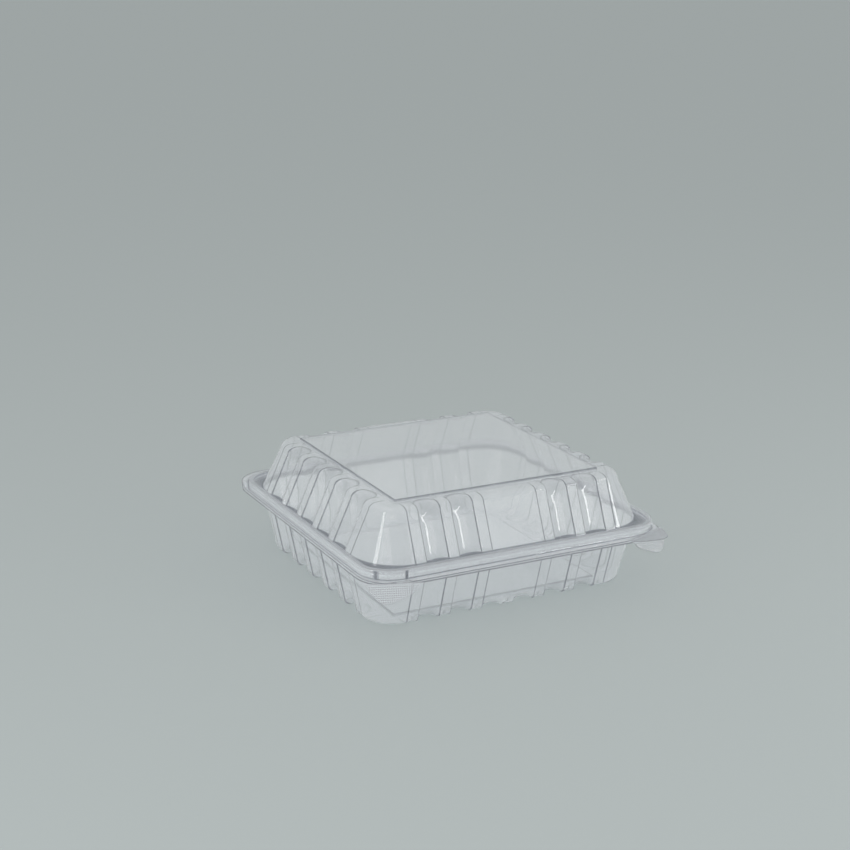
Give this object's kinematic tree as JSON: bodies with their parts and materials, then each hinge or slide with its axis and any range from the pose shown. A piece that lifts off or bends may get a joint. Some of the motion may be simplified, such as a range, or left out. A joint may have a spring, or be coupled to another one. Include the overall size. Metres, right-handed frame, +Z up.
{
  "type": "clear hinged food container",
  "caption": "Clear thermoformed clamshell pack: ribbed base tray and ribbed lid on a living hinge, with thumb tabs at the front corners.",
  "frame": {"origin": "centre of the foot plane that the closed pack stands on", "axes": "+Z up through base and lid, -Y towards the front with the thumb tabs, +Y towards the hinge, +X to the right seen from the front"},
  "size_m": [0.214, 0.2251, 0.076],
  "materials": {
    "clear_sheet": "clear glossy thermoformed polystyrene sheet"
  },
  "bodies": {
    "base": {"base": "clear_sheet"},
    "lid": {"lid": "clear_sheet"}
  },
  "joints": [
    {"name": "lid_hinge", "type": "hinge", "parent": "base", "child": "lid", "pos_m": [0, 0.111, 0.042], "axis": [-1, 0, 0], "range_deg": [0, 180]}
  ]
}
